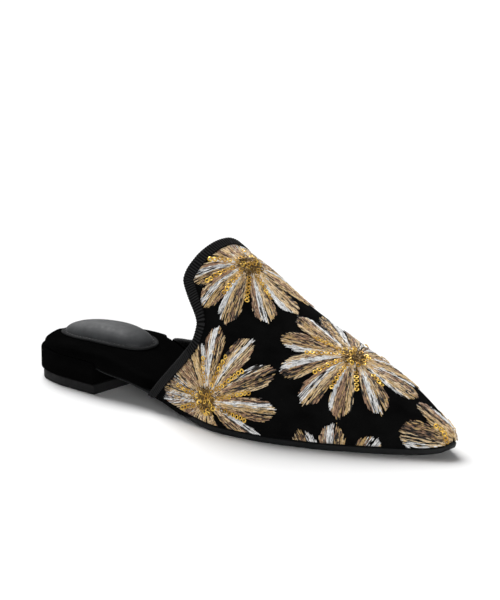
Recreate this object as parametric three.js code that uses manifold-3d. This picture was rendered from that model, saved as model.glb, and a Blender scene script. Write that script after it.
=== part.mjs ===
// Backless pointed-toe mule, the right shoe, in millimetres.
// The shoe is worked out along x from the back of the heel to the toe, with y towards the
// big-toe side and z up from the floor. At the end it is centred over the origin.
import * as THREE from "three";
import { mergeVertices } from "three/addons/utils/BufferGeometryUtils.js";
import Module from "manifold-3d";

const wasm = await Module();
wasm.setup();

// Driving dimensions
const LENGTH = 265;
const GAP = 0.3;
const WALL = 1.8;
const TOE_TIP_HEIGHT = 9.2;
const BULGE = 1.2;
const BULGE_FADE = 30;

const HEEL_BREAST = 54.7;
const WAIST_START = HEEL_BREAST + 1;
const HEEL_TIP_THICK = 5.2;
const HEEL_BLOCK_PROUD = 1.3;
const HEEL_TIP_PROUD = 0.4;
const HEEL_BLOCK_ROUND = 0.9;
const HEEL_TIP_ROUND = 0.3;

const OUTSOLE_PROUD = 0.4;
const OUTSOLE_BEVEL = 0.5;
const FOOTBED_ROUND = 2;
const FOOTBED_CROWN = 0.7;
const FOOTBED_END = 257;

const RIBBON_THICK = 0.6;
const RIBBON_INSIDE = 5;
const RIBBON_FOLD = 0.4;
const RIBBON_TAIL = 0.05;

const PAD_CENTRE = 36.8;
const PAD_SIDE = 1;
const PAD_LONG = 63.6;
const PAD_WIDE = 29.8;
const PAD_SQUARENESS = 2.5;
const PAD_WIDENING = 0.15;
const PAD_EDGE = 1;
const PAD_DOME = 7.1;
const PAD_RIM = 2.2;
const PAD_FLATNESS = 2.5;
const PAD_FULLNESS = 0.56;

// Fineness of the surfaces
const SOLE_STEPS = 44;
const SEAT_STEPS = 22;
const FOOTBED_STEPS = 44;
const HEEL_STEPS = 20;
const PAD_STEPS = 40;
const VAMP_STEPS = 30;
const ARCH_STEPS = 25;
const ARCH_CROWDING = 1.6;
const SLOPE_STEP_X = 0.05;
const SLOPE_STEP_AROUND = 0.002;

// The sole in plan and profile: the middle of its width and half of its width, the height of the
// footbed's underside, which steps down in front of the heel, and the thickness of the outsole
const SOLE_ROWS = [
  { x: 0, middle: 0, half: 0, bed: 17.5, thick: 1.5 },
  { x: 5, middle: 0, half: 15.6, bed: 17.5, thick: 1.5 },
  { x: 14, middle: 0, half: 23.2, bed: 17.5, thick: 1.5 },
  { x: 30, middle: 0, half: 27.3, bed: 17.5, thick: 1.5 },
  { x: HEEL_BREAST, middle: -0.6, half: 28.4, bed: 17.5, thick: 1 },
  { x: WAIST_START, middle: -0.7, half: 28.4, bed: 15.4, thick: 1 },
  { x: 80, middle: -3.8, half: 25.6, bed: 12.3, thick: 1.2 },
  { x: 103, middle: -6.4, half: 24.9, bed: 9.3, thick: 2.2 },
  { x: 127, middle: -7.9, half: 27.6, bed: 5.3, thick: 3 },
  { x: 150, middle: -6, half: 32.5, bed: 3.5, thick: 3.2 },
  { x: 176, middle: -1.5, half: 35, bed: 3.5, thick: 3.2 },
  { x: 200, middle: 2.2, half: 32, bed: 3.5, thick: 3.2 },
  { x: 226, middle: 4.6, half: 24.3, bed: 4.1, thick: 3.2 },
  { x: 245, middle: 5.7, half: 15.5, bed: 4.5, thick: 3.3 },
  { x: 257, middle: 5.8, half: 8.4, bed: 5.2, thick: 3.1 },
  { x: 262, middle: 5.9, half: 4.6, bed: 6.1, thick: 2.6 },
  { x: LENGTH, middle: 6, half: 0, bed: 8, thick: 1.5 },
];

// The height of the footbed's upper edge, and how far the vamp pushes that edge in
const EDGE_ROWS = [
  { x: 0, top: 20.7, inset: 2.3 },
  { x: 20, top: 21.5, inset: 2.3 },
  { x: 45, top: 22.7, inset: 2.3 },
  { x: 56, top: 22.4, inset: 2.3 },
  { x: 80, top: 18.5, inset: 2.3 },
  { x: 103, top: 14.3, inset: 2.3 },
  { x: 125, top: 10.2, inset: 2.3 },
  { x: 150, top: 7.9, inset: 2.5 },
  { x: 200, top: 7.5, inset: 2.8 },
  { x: 226, top: 8.1, inset: 3.1 },
  { x: FOOTBED_END, top: 9.2, inset: 3.5 },
];

// The ridge of the vamp: its height and side step, and the fullness of the arch under it, which
// is how high its walls stay upright and how wide its crown stays level
const VAMP_ROWS = [
  { x: 85, height: 106, step: -1.6, upright: 0.72, crown: 0.75 },
  { x: 105, height: 100.1, step: -1.2, upright: 0.72, crown: 0.75 },
  { x: 118, height: 94.4, step: -0.8, upright: 0.71, crown: 0.74 },
  { x: 126, height: 89.1, step: -0.6, upright: 0.71, crown: 0.74 },
  { x: 145, height: 78.2, step: 0.1, upright: 0.7, crown: 0.73 },
  { x: 165, height: 63.7, step: 0.8, upright: 0.69, crown: 0.71 },
  { x: 185, height: 52.3, step: 1.6, upright: 0.68, crown: 0.7 },
  { x: 205, height: 43, step: 2.9, upright: 0.66, crown: 0.68 },
  { x: 225, height: 34.5, step: 4.4, upright: 0.65, crown: 0.67 },
  { x: 243, height: 25.9, step: 5.5, upright: 0.63, crown: 0.65 },
  { x: 255, height: 19, step: 5.9, upright: 0.62, crown: 0.64 },
  { x: LENGTH, height: TOE_TIP_HEIGHT, step: 6.1, upright: 0.62, crown: 0.64 },
];

// The top edge of the vamp, round the arch from the little-toe side (0) over the ridge (1) to the
// big-toe side (2), where it starts further back
const TOPLINE_ROWS = [
  { around: 0, x: 98 },
  { around: 0.1, x: 113.3 },
  { around: 0.18, x: 123.2 },
  { around: 0.28, x: 131.3 },
  { around: 0.35, x: 132.7 },
  { around: 0.5, x: 118.5 },
  { around: 0.65, x: 120.9 },
  { around: 0.8, x: 122.9 },
  { around: 1, x: 124.2 },
  { around: 1.2, x: 125.4 },
  { around: 1.35, x: 125.1 },
  { around: 1.5, x: 124.5 },
  { around: 1.65, x: 128 },
  { around: 1.8, x: 118 },
  { around: 1.9, x: 99 },
  { around: 1.942, x: 81 },
  { around: 1.97, x: 63.2 },
  { around: 2, x: 60.2 },
];

// How far the ribbon reaches down the vamp's outside, round the arch: it narrows towards the sole
const RIBBON_ROWS = [
  { around: 0, wide: 4 },
  { around: 0.25, wide: 4.2 },
  { around: 0.45, wide: 5.8 },
  { around: 1, wide: 6 },
  { around: 1.55, wide: 5.8 },
  { around: 1.75, wide: 4.2 },
  { around: 2, wide: 4 },
];

// Where the vamp begins on either side, seen from the footbed
const WING_START = { "-1": 95, 1: 58.5 };
const WING_STEP = 3;

// A smooth curve through rows that never overshoots them, straight beyond both ends
function curveThrough(places, values) {
  const last = places.length - 1;
  const slope = (i) => (values[i + 1] - values[i]) / (places[i + 1] - places[i]);
  const turn = places.map((_, i) => {
    if (i === 0) return slope(0);
    if (i === last) return slope(last - 1);
    const before = slope(i - 1);
    const after = slope(i);
    return before * after <= 0 ? 0 : (2 * before * after) / (before + after);
  });
  return (at) => {
    if (at <= places[0]) return values[0] + turn[0] * (at - places[0]);
    if (at >= places[last]) return values[last] + turn[last] * (at - places[last]);
    const i = places.findIndex((place) => place > at) - 1;
    const span = places[i + 1] - places[i];
    const s = (at - places[i]) / span;
    const start = values[i] * (1 + 2 * s) * (1 - s) ** 2 + turn[i] * span * s * (1 - s) ** 2;
    const end = values[i + 1] * s * s * (3 - 2 * s) + turn[i + 1] * span * s * s * (s - 1);
    return start + end;
  };
}

function column(rows, name, along = "x") {
  return curveThrough(rows.map((row) => row[along]), rows.map((row) => row[name]));
}

// A column that closes round at an end, where its value comes down to base
function roundColumn(rows, name, base) {
  const squares = curveThrough(rows.map((row) => row.x), rows.map((row) => (row[name] - base) ** 2));
  return (x) => base + Math.sqrt(Math.max(0, squares(x)));
}

const middle = column(SOLE_ROWS, "middle");
const half = roundColumn(SOLE_ROWS, "half", 0);
const bed = column(SOLE_ROWS, "bed");
const thick = column(SOLE_ROWS, "thick");
const edgeTop = column(EDGE_ROWS, "top");
const edgeInset = column(EDGE_ROWS, "inset");
const ridgeHeight = roundColumn(VAMP_ROWS, "height", TOE_TIP_HEIGHT);
const ridgeStep = column(VAMP_ROWS, "step");
const upright = column(VAMP_ROWS, "upright");
const crown = column(VAMP_ROWS, "crown");
const topline = column(TOPLINE_ROWS, "x", "around");
const ribbonWide = column(RIBBON_ROWS, "wide", "around");

// Stations between two places, close together at both ends
function stations(from, to, count) {
  return Array.from({ length: count + 1 }, (_, i) => {
    const share = (1 - Math.cos((Math.PI * i) / count)) / 2;
    return from + (to - from) * share;
  });
}

// A closed solid from points and triangles, turned so that its faces point out
function closedGeometry(points, triangles) {
  const volume = triangles.reduce((sum, [a, b, c]) => {
    return sum + points[a].dot(new THREE.Vector3().crossVectors(points[b], points[c]));
  }, 0);
  const facing = volume > 0 ? triangles : triangles.map(([a, b, c]) => [a, c, b]);
  const geometry = new THREE.BufferGeometry().setFromPoints(points);
  geometry.setIndex(facing.flat());
  geometry.computeVertexNormals();
  return geometry;
}

// A solid through rings with the same number of points. The flat ring gives the shape of both caps.
function loft(rings, flatRing) {
  const size = flatRing.length;
  const triangles = [];
  for (let i = 0; i + 1 < rings.length; i += 1) {
    for (let j = 0; j < size; j += 1) {
      const a = i * size + j;
      const b = i * size + ((j + 1) % size);
      triangles.push([a, b, b + size], [a, b + size, a + size]);
    }
  }
  const lastRing = (rings.length - 1) * size;
  for (const [a, b, c] of THREE.ShapeUtils.triangulateShape(flatRing, [])) {
    const turned = THREE.ShapeUtils.isClockWise(flatRing) ? [a, b, c] : [a, c, b];
    triangles.push(turned, [turned[0] + lastRing, turned[2] + lastRing, turned[1] + lastRing]);
  }
  return closedGeometry(rings.flat(), triangles);
}

// A loft along x whose section at each station is a list of [y, z]
function loftAlongX(xs, section) {
  const rings = xs.map((x) => section(x).map(([y, z]) => new THREE.Vector3(x, y, z)));
  const flatRing = section(xs[Math.floor(xs.length / 2)]).map(([y, z]) => new THREE.Vector2(y, z));
  return loft(rings, flatRing);
}

function toSolid(geometry) {
  const bare = geometry.clone();
  bare.deleteAttribute("normal");
  bare.deleteAttribute("uv");
  const merged = mergeVertices(bare, 1e-5);
  return new wasm.Manifold(new wasm.Mesh({
    numProp: 3,
    vertProperties: new Float32Array(merged.attributes.position.array),
    triVerts: new Uint32Array(merged.index.array),
  }));
}

// The largest body of a cut solid, as geometry
function toGeometry(solid) {
  const [body] = solid.decompose().sort((a, b) => b.volume() - a.volume());
  const mesh = body.getMesh();
  const geometry = new THREE.BufferGeometry();
  geometry.setAttribute("position", new THREE.BufferAttribute(new Float32Array(mesh.vertProperties), 3));
  geometry.setIndex(Array.from(mesh.triVerts));
  geometry.computeVertexNormals();
  return geometry;
}

// Sole pieces

function outsoleGeometry() {
  const toeEnd = LENGTH + OUTSOLE_PROUD / 2;
  const xs = stations(WAIST_START, toeEnd, SOLE_STEPS);
  return loftAlongX(xs, (x) => {
    const planX = x * (LENGTH / (LENGTH + OUTSOLE_PROUD));
    const side = half(planX) + OUTSOLE_PROUD;
    const top = bed(x) - GAP;
    const under = top - thick(x);
    const right = middle(planX) - side;
    const left = middle(planX) + side;
    return [
      [right + OUTSOLE_BEVEL, under], [right, under + OUTSOLE_BEVEL], [right, top],
      [left, top], [left, under + OUTSOLE_BEVEL], [left - OUTSOLE_BEVEL, under],
    ];
  });
}

// The side of the footbed: the sole's own edge at the heel and waist, inside the vamp in front
function footbedSide(x, side) {
  const covered = THREE.MathUtils.smoothstep(x, WING_START[side] - WING_STEP, WING_START[side]);
  return middle(x) + side * (half(x) - edgeInset(x) * covered);
}

function footbedTop(x, y) {
  const across = THREE.MathUtils.clamp((y - middle(x)) / Math.max(half(x), 1), -1, 1);
  return edgeTop(x) + FOOTBED_CROWN * (1 - across ** 2);
}

function footbedGeometry(grow) {
  const seat = stations(GAP - grow, HEEL_BREAST, SEAT_STEPS);
  const xs = [...seat, ...stations(WAIST_START, FOOTBED_END + grow, FOOTBED_STEPS)];
  const across = [-0.8, -0.45, 0, 0.45, 0.8];
  const bend = Math.SQRT1_2;
  return loftAlongX(xs, (x) => {
    const right = footbedSide(x, -1) - grow;
    const left = footbedSide(x, 1) + grow;
    const round = Math.min(FOOTBED_ROUND, (left - right) / 5);
    const shoulder = edgeTop(x) + grow - round;
    const centre = (left + right) / 2;
    const crownPoints = across.map((share) => {
      const y = centre + (share * (left - right - 2 * round)) / 2;
      return [y, footbedTop(x, y) + grow];
    });
    return [
      [left, bed(x) - grow], [right, bed(x) - grow],
      [right, shoulder], [right + (1 - bend) * round, shoulder + bend * round],
      ...crownPoints,
      [left - (1 - bend) * round, shoulder + bend * round], [left, shoulder],
    ];
  });
}

// Heel pieces: the sole's plan behind the breast, grown all round, as an upright prism
function heelGeometry(proud, bottom, top, round) {
  const reach = proud - round;
  const stretch = (HEEL_BREAST + reach) / HEEL_BREAST;
  const side = (x, sign) => middle(x) + sign * half(x) * (1 + reach / half(HEEL_BREAST));
  const xs = stations(0, 2 * HEEL_BREAST, 2 * HEEL_STEPS).slice(0, HEEL_STEPS + 1);
  const front = HEEL_BREAST - round;
  const place = (x, sign) => new THREE.Vector2((x - HEEL_BREAST) * stretch + front, side(x, sign));
  const outline = [...xs.map((x) => place(x, 1)), ...xs.slice(1).reverse().map((x) => place(x, -1))];
  const geometry = new THREE.ExtrudeGeometry(new THREE.Shape(outline), {
    depth: top - bottom - 2 * round,
    bevelEnabled: true,
    bevelThickness: round,
    bevelSize: round,
    bevelSegments: 2,
  });
  geometry.translate(0, 0, bottom + round);
  return geometry;
}

// A point of the pad's plan, from a point of a round one: a squarish oval, wider in front
function padPlan(roundX, roundY) {
  const size = Math.hypot(roundX, roundY);
  if (size === 0) return [PAD_CENTRE, PAD_SIDE];
  const squared = (share) => Math.sign(share) * Math.abs(share) ** (2 / PAD_SQUARENESS);
  const along = size * squared(roundX / size);
  const across = size * squared(roundY / size) * (1 + PAD_WIDENING * along);
  return [PAD_CENTRE + (along * PAD_LONG) / 2, PAD_SIDE + (across * PAD_WIDE) / 2];
}

// Domed pad with a flat rim, lying on the footbed
function padGeometry() {
  const rim = 1 - (2 * PAD_RIM) / PAD_WIDE;
  const profile = [0, 0.3, 0.55, 0.78, 1].map((share) => new THREE.Vector2(share, 0));
  profile.push(new THREE.Vector2(1, PAD_EDGE), new THREE.Vector2(rim, PAD_EDGE));
  for (const share of [0.94, 0.84, 0.68, 0.48, 0.25]) {
    const rise = PAD_DOME * (1 - share ** PAD_FLATNESS) ** PAD_FULLNESS;
    profile.push(new THREE.Vector2(rim * share, PAD_EDGE + rise));
  }
  profile.push(new THREE.Vector2(0, PAD_EDGE + PAD_DOME));
  const geometry = new THREE.LatheGeometry(profile, PAD_STEPS);
  geometry.rotateX(Math.PI / 2);
  const points = geometry.attributes.position;
  for (let i = 0; i < points.count; i += 1) {
    const [x, y] = padPlan(points.getX(i), points.getY(i));
    points.setXYZ(i, x, y, footbedTop(x, y) + GAP + points.getZ(i));
  }
  return geometry;
}

// Vamp

function bezier(s, a, b, c, d) {
  const r = 1 - s;
  return a * r ** 3 + 3 * b * s * r * r + 3 * c * s * s * r + d * s ** 3;
}

// A point of the vamp's outside, at a place along the shoe and round the arch
function vampPoint(x, around) {
  const side = around < 1 ? -1 : 1;
  const climb = around < 1 ? around : 2 - around;
  const foot = bed(x);
  const ridge = ridgeHeight(x);
  const edge = middle(x) + side * half(x);
  const belly = edge + side * BULGE * THREE.MathUtils.clamp((LENGTH - x) / BULGE_FADE, 0, 1);
  const shoulder = ridgeStep(x) + (edge - ridgeStep(x)) * crown(x);
  const y = bezier(climb, edge, belly, shoulder, ridgeStep(x));
  const z = bezier(climb, foot, foot + upright(x) * (ridge - foot), ridge, ridge);
  return new THREE.Vector3(x, y, z);
}

// Directions on the vamp at a point: forward, round the arch, and out
function vampFrame(x, around) {
  const ahead = Math.min(x + SLOPE_STEP_X, LENGTH);
  const behind = x - SLOPE_STEP_X;
  const over = around + SLOPE_STEP_AROUND;
  const under = around - SLOPE_STEP_AROUND;
  const forward = vampPoint(ahead, around).sub(vampPoint(behind, around)).divideScalar(ahead - behind);
  const round = vampPoint(x, over).sub(vampPoint(x, under)).divideScalar(over - under);
  const out = new THREE.Vector3().crossVectors(forward, round).normalize();
  return { forward, round, out };
}

// A point off the vamp's outside: out is positive, into the shoe is negative
function offVamp(x, around, out) {
  return vampPoint(x, around).addScaledVector(vampFrame(x, around).out, out);
}

// Places round the arch, closer together near the sole, shared by the vamp and its ribbon
function aroundPlaces() {
  const climb = Array.from({ length: ARCH_STEPS + 1 }, (_, i) => (i / ARCH_STEPS) ** ARCH_CROWDING);
  return [...climb, ...climb.slice(0, -1).reverse().map((value) => 2 - value)];
}

function upperGeometry() {
  const places = aroundPlaces();
  const shares = stations(0, 1, VAMP_STEPS);
  const end = LENGTH - GAP;
  const columns = places.length;
  const points = [];
  for (const depth of [0, -WALL]) {
    for (const share of shares) {
      for (const around of places) {
        const x = topline(around) + (end - topline(around)) * share;
        const point = offVamp(x, around, depth);
        if (around === 0 || around === 2) point.z = bed(x);
        points.push(point);
      }
    }
  }
  const inside = (VAMP_STEPS + 1) * columns;
  const triangles = [];
  const quad = (a, b, c, d) => triangles.push([a, b, c], [a, c, d]);
  for (let i = 0; i < VAMP_STEPS; i += 1) {
    const row = i * columns;
    const next = row + columns;
    for (let j = 0; j + 1 < columns; j += 1) {
      quad(row + j, next + j, next + j + 1, row + j + 1);
      quad(inside + row + j + 1, inside + next + j + 1, inside + next + j, inside + row + j);
    }
    quad(inside + row, inside + next, next, row);
    const edge = columns - 1;
    quad(row + edge, next + edge, inside + next + edge, inside + row + edge);
  }
  for (let j = 0; j + 1 < columns; j += 1) {
    quad(j, j + 1, inside + j + 1, inside + j);
  }
  const toe = VAMP_STEPS * columns;
  for (let j = 1; j + 1 < columns; j += 1) {
    triangles.push([toe, toe + j + 1, toe + j], [inside + toe, inside + toe + j, inside + toe + j + 1]);
  }
  quad(toe + columns - 1, toe, inside + toe, inside + toe + columns - 1);
  return closedGeometry(points, triangles);
}

// A point of the ribbon, at a distance from the top edge into the vamp and off the vamp's outside
function ribbonPoint(around, inward, out) {
  const x = topline(around);
  const over = around + SLOPE_STEP_AROUND;
  const under = around - SLOPE_STEP_AROUND;
  const slant = (topline(over) - topline(under)) / (over - under);
  const { forward, round, out: normal } = vampFrame(x, around);
  const along = forward.clone().multiplyScalar(slant).add(round).normalize();
  const across = new THREE.Vector3().crossVectors(along, normal).normalize();
  const lengthX = forward.lengthSq();
  const lengthAround = round.lengthSq();
  const shared = forward.dot(round);
  const area = lengthX * lengthAround - shared ** 2;
  let moveX = (lengthAround * across.dot(forward) - shared * across.dot(round)) / area;
  let moveAround = (lengthX * across.dot(round) - shared * across.dot(forward)) / area;
  const sign = Math.sign(moveX - slant * moveAround);
  moveX *= sign;
  moveAround *= sign;
  return offVamp(x + moveX * inward, around + moveAround * inward, out);
}

// Ribbon folded over the top edge, cut off where it meets the sole and the footbed
function bindingGeometry() {
  const near = GAP;
  const far = GAP + RIBBON_THICK;
  const section = (outside) => [
    [outside, near], [outside, far], [outside / 2, far], [0, far],
    [-RIBBON_FOLD - 0.6 * RIBBON_THICK, 0], [-RIBBON_FOLD - RIBBON_THICK, -WALL / 2],
    [-RIBBON_FOLD - 0.6 * RIBBON_THICK, -WALL],
    [0, -WALL - far], [RIBBON_INSIDE / 2, -WALL - far], [RIBBON_INSIDE, -WALL - far],
    [RIBBON_INSIDE, -WALL - near], [RIBBON_INSIDE / 2, -WALL - near], [-RIBBON_FOLD, -WALL - near],
    [-RIBBON_FOLD, near], [outside / 2, near],
  ];
  const places = [-RIBBON_TAIL, ...aroundPlaces(), 2 + RIBBON_TAIL];
  const rings = places.map((around) => {
    return section(ribbonWide(around)).map(([inward, out]) => ribbonPoint(around, inward, out));
  });
  const flatRing = section(ribbonWide(1)).map(([inward, out]) => new THREE.Vector2(inward, out));
  const ribbon = loft(rings, flatRing);
  const below = loftAlongX(stations(0, LENGTH, SOLE_STEPS), (x) => {
    return [[-LENGTH, -LENGTH], [LENGTH, -LENGTH], [LENGTH, bed(x)], [-LENGTH, bed(x)]];
  });
  const aboveSole = toSolid(ribbon).subtract(toSolid(below));
  return toGeometry(aboveSole.subtract(toSolid(footbedGeometry(GAP))));
}

const MATERIALS = {
  velvet: { color: 0x0a0a0b, roughness: 0.95, metalness: 0 },
  ribbon: { color: 0x1d1d1f, roughness: 0.8, metalness: 0 },
  rubber: { color: 0x222223, roughness: 0.6, metalness: 0 },
  padLeather: { color: 0x2b2c2f, roughness: 0.42, metalness: 0 },
};

function makeMesh(name, geometry, finish) {
  const mesh = new THREE.Mesh(geometry, new THREE.MeshStandardMaterial(MATERIALS[finish]));
  mesh.name = name;
  return mesh;
}

const blockBottom = HEEL_TIP_THICK + GAP;
const blockTop = bed(0) - GAP;
const shoe = new THREE.Group();
shoe.add(
  makeMesh("outsole", outsoleGeometry(), "rubber"),
  makeMesh("heel_tip", heelGeometry(HEEL_TIP_PROUD, 0, HEEL_TIP_THICK, HEEL_TIP_ROUND), "rubber"),
  makeMesh("heel_block", heelGeometry(HEEL_BLOCK_PROUD, blockBottom, blockTop, HEEL_BLOCK_ROUND), "velvet"),
  makeMesh("insole", footbedGeometry(0), "velvet"),
  makeMesh("heel_pad", padGeometry(), "padLeather"),
  makeMesh("upper", upperGeometry(), "velvet"),
  makeMesh("binding", bindingGeometry(), "ribbon"),
);

// The origin is under the middle of the shoe's box, on the floor
const box = new THREE.Box3().setFromObject(shoe);
const centre = box.getCenter(new THREE.Vector3());
shoe.position.set(-centre.x, -centre.y, -box.min.z);

const mule = new THREE.Group();
mule.add(shoe);

export default mule;
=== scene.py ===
"""Looks of a backless pointed-toe mule, the right shoe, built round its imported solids.

The shapes repeat the part's own sections in millimetres: x from the back of the heel to the toe,
y to the big-toe side, z up. The vamp is a surface with two places on it: x, and around, which runs
from the little-toe side of the sole (0) over the ridge (1) to the big-toe side (2).
"""
import math

import bpy
import numpy as np
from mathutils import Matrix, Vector


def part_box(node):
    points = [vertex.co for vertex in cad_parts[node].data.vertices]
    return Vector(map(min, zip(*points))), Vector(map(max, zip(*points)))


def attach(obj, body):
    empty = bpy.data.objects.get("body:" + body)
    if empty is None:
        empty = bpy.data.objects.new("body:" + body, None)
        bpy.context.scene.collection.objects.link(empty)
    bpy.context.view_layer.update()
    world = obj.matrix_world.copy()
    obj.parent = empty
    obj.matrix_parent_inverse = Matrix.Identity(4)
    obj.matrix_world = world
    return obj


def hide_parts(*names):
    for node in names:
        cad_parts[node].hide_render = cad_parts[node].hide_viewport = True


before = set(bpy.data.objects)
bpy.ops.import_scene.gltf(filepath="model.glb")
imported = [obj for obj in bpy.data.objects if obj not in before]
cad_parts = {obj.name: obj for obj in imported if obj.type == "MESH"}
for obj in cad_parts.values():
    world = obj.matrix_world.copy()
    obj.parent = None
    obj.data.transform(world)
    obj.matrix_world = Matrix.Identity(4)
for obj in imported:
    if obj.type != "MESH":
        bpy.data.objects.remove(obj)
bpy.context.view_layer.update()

MM = 0.001

# Driving dimensions, most of them as in the solids
LENGTH = 265.0
GAP = 0.3
WALL = 1.8
TOE_TIP_HEIGHT = 9.2
BULGE = 1.2
BULGE_FADE = 30.0
HEEL_BREAST = 54.7
WAIST_START = HEEL_BREAST + 1
HEEL_TIP_THICK = 5.2
HEEL_BLOCK_PROUD = 1.3
HEEL_TIP_PROUD = 0.4
HEEL_BLOCK_ROUND = 0.9
HEEL_TIP_ROUND = 0.5
OUTSOLE_PROUD = 0.4
OUTSOLE_ROUND = 0.7
OUTSOLE_ROUND_SHARE = 0.8
WAIST_DRAWN_IN = 0.9
WAIST_END = (118.0, 140.0)
LASTED_SHORT = 0.15
FOOTBED_ROUND = 2.0
FOOTBED_CHAMFER = 0.5
FOOTBED_CROWN = 0.7
FOOTBED_END = 257.0
WING_START = {-1: 95.0, 1: 58.5}
WING_STEP = 3.0
RIBBON_THICK = 0.6
RIBBON_INSIDE = 5.0
RIBBON_FOLD = 0.4
RIBBON_TAIL = 0.05
RIBBON_CLEAR = 0.05
RIB_PITCH = 1.45
RIB_STEPS = 6
RIB_DEPTH = 0.32
# Faces low in each rib's wave are painted darker, as shade in the grooves between ribs
RIB_SHADE_BELOW = 0.4
PAD_CENTRE = 36.8
PAD_SIDE = 1.0
PAD_LONG = 63.6
PAD_WIDE = 29.8
PAD_SQUARENESS = 2.5
PAD_WIDENING = 0.15
PAD_EDGE = 1.0
PAD_DOME = 7.1
PAD_RIM = 2.5
PAD_FLATNESS = 2.5
PAD_FULLNESS = 0.56
SEAM_PITCH = 2.6
SEAM_LONG = 1.9
SEAM_WIDE = 0.5
SEAM_TALL = 0.24
SEAM_DEEP = 0.35

# Steps for slopes on the vamp
SLOPE_X = 0.05
SLOPE_AROUND = 0.002


def rows(names, values):
    return np.array(values, dtype=[(name, float) for name in names.split()])


# The sole in plan and profile
SOLE = rows("x middle half bed thick", [
    (0, 0, 0, 17.5, 1.5), (5, 0, 15.6, 17.5, 1.5), (14, 0, 23.2, 17.5, 1.5),
    (30, 0, 27.3, 17.5, 1.5), (HEEL_BREAST, -0.6, 28.4, 17.5, 1), (WAIST_START, -0.7, 28.4, 15.4, 1),
    (80, -3.8, 25.6, 12.3, 1.2), (103, -6.4, 24.9, 9.3, 2.2), (127, -7.9, 27.6, 5.3, 3),
    (150, -6, 32.5, 3.5, 3.2), (176, -1.5, 35, 3.5, 3.2), (200, 2.2, 32, 3.5, 3.2),
    (226, 4.6, 24.3, 4.1, 3.2), (245, 5.7, 15.5, 4.5, 3.3), (257, 5.8, 8.4, 5.2, 3.1),
    (262, 5.9, 4.6, 6.1, 2.6), (LENGTH, 6, 0, 8, 1.5),
])

# The edge of the footbed, and how far the vamp pushes it in
EDGE = rows("x top inset", [
    (0, 20.7, 2.3), (20, 21.5, 2.3), (45, 22.7, 2.3), (56, 22.4, 2.3), (80, 18.5, 2.3),
    (103, 14.3, 2.3), (125, 10.2, 2.3), (150, 7.9, 2.5), (200, 7.5, 2.8), (226, 8.1, 3.1),
    (FOOTBED_END, 9.2, 3.5),
])

# The ridge of the vamp and the fullness of the arch under it
VAMP = rows("x height step upright crown", [
    (85, 106, -1.6, 0.72, 0.75), (105, 100.1, -1.2, 0.72, 0.75), (118, 94.4, -0.8, 0.71, 0.74),
    (126, 89.1, -0.6, 0.71, 0.74), (145, 78.2, 0.1, 0.7, 0.73), (165, 63.7, 0.8, 0.69, 0.71),
    (185, 52.3, 1.6, 0.68, 0.7), (205, 43, 2.9, 0.66, 0.68), (225, 34.5, 4.4, 0.65, 0.67),
    (243, 25.9, 5.5, 0.63, 0.65), (255, 19, 5.9, 0.62, 0.64), (LENGTH, TOE_TIP_HEIGHT, 6.1, 0.62, 0.64),
])

# The top edge of the vamp, round the arch
TOPLINE = rows("around x", [
    (0, 98), (0.1, 113.3), (0.18, 123.2), (0.28, 131.3), (0.35, 132.7), (0.5, 118.5), (0.65, 120.9),
    (0.8, 122.9), (1, 124.2), (1.2, 125.4), (1.35, 125.1), (1.5, 124.5), (1.65, 128), (1.8, 118),
    (1.9, 99), (1.942, 81), (1.97, 63.2), (2, 60.2),
])

# The ribbon's width on the outside, round the arch
RIBBON = rows("around wide", [
    (0, 4), (0.25, 4.2), (0.45, 5.6), (0.7, 5.2), (1, 4.4), (1.3, 5.2), (1.55, 5.6), (1.75, 4.2), (2, 4),
])


def curve_through(places, values):
    """A smooth curve through rows that never overshoots them, straight beyond both ends."""
    slope = np.diff(values) / np.diff(places)
    same_way = slope[:-1] * slope[1:] > 0
    total = np.where(same_way, slope[:-1] + slope[1:], 1)
    inner = np.where(same_way, 2 * slope[:-1] * slope[1:] / total, 0)
    turn = np.concatenate([slope[:1], inner, slope[-1:]])

    def at(where):
        where = np.asarray(where, float)
        i = np.clip(np.searchsorted(places, where, side="right") - 1, 0, len(places) - 2)
        span = places[i + 1] - places[i]
        s = (where - places[i]) / span
        start = values[i] * (1 + 2 * s) * (1 - s) ** 2 + turn[i] * span * s * (1 - s) ** 2
        end = values[i + 1] * s * s * (3 - 2 * s) + turn[i + 1] * span * s * s * (s - 1)
        before = values[0] + turn[0] * (where - places[0])
        after = values[-1] + turn[-1] * (where - places[-1])
        return np.where(where < places[0], before, np.where(where > places[-1], after, start + end))

    return at


def column(table, name, along="x"):
    return curve_through(table[along], table[name])


def round_column(table, name, base):
    """A column that closes round at an end, where its value comes down to base."""
    squares = curve_through(table["x"], (table[name] - base) ** 2)
    return lambda x: base + np.sqrt(np.maximum(0, squares(x)))


middle = column(SOLE, "middle")
half = round_column(SOLE, "half", 0)
bed = column(SOLE, "bed")
thick = column(SOLE, "thick")
edge_top = column(EDGE, "top")
edge_inset = column(EDGE, "inset")
ridge_height = round_column(VAMP, "height", TOE_TIP_HEIGHT)
ridge_step = column(VAMP, "step")
upright = column(VAMP, "upright")
crown = column(VAMP, "crown")
topline = column(TOPLINE, "x", "around")
ribbon_wide = column(RIBBON, "wide", "around")


def smoothstep(value, low, high):
    s = np.clip((value - low) / (high - low), 0, 1)
    return s * s * (3 - 2 * s)


def stations(start, end, count):
    """Places between two ends, close together at both."""
    return start + (end - start) * (1 - np.cos(np.linspace(0, math.pi, count + 1))) / 2


def unit(vectors):
    return vectors / np.linalg.norm(vectors, axis=-1, keepdims=True)


def dot(a, b):
    return (a * b).sum(-1)


def laid_flat(vectors, out):
    """Unit vectors turned into the surface that has these normals."""
    return unit(vectors - dot(vectors, out)[..., None] * out)


def run_along(line):
    """Distance along a line of points, from its start."""
    return np.concatenate([[0], np.cumsum(np.linalg.norm(np.diff(line, axis=0), axis=-1))])


# The vamp as a surface

def bezier(s, a, b, c, d):
    r = 1 - s
    return a * r ** 3 + 3 * b * s * r * r + 3 * c * s * s * r + d * s ** 3


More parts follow.
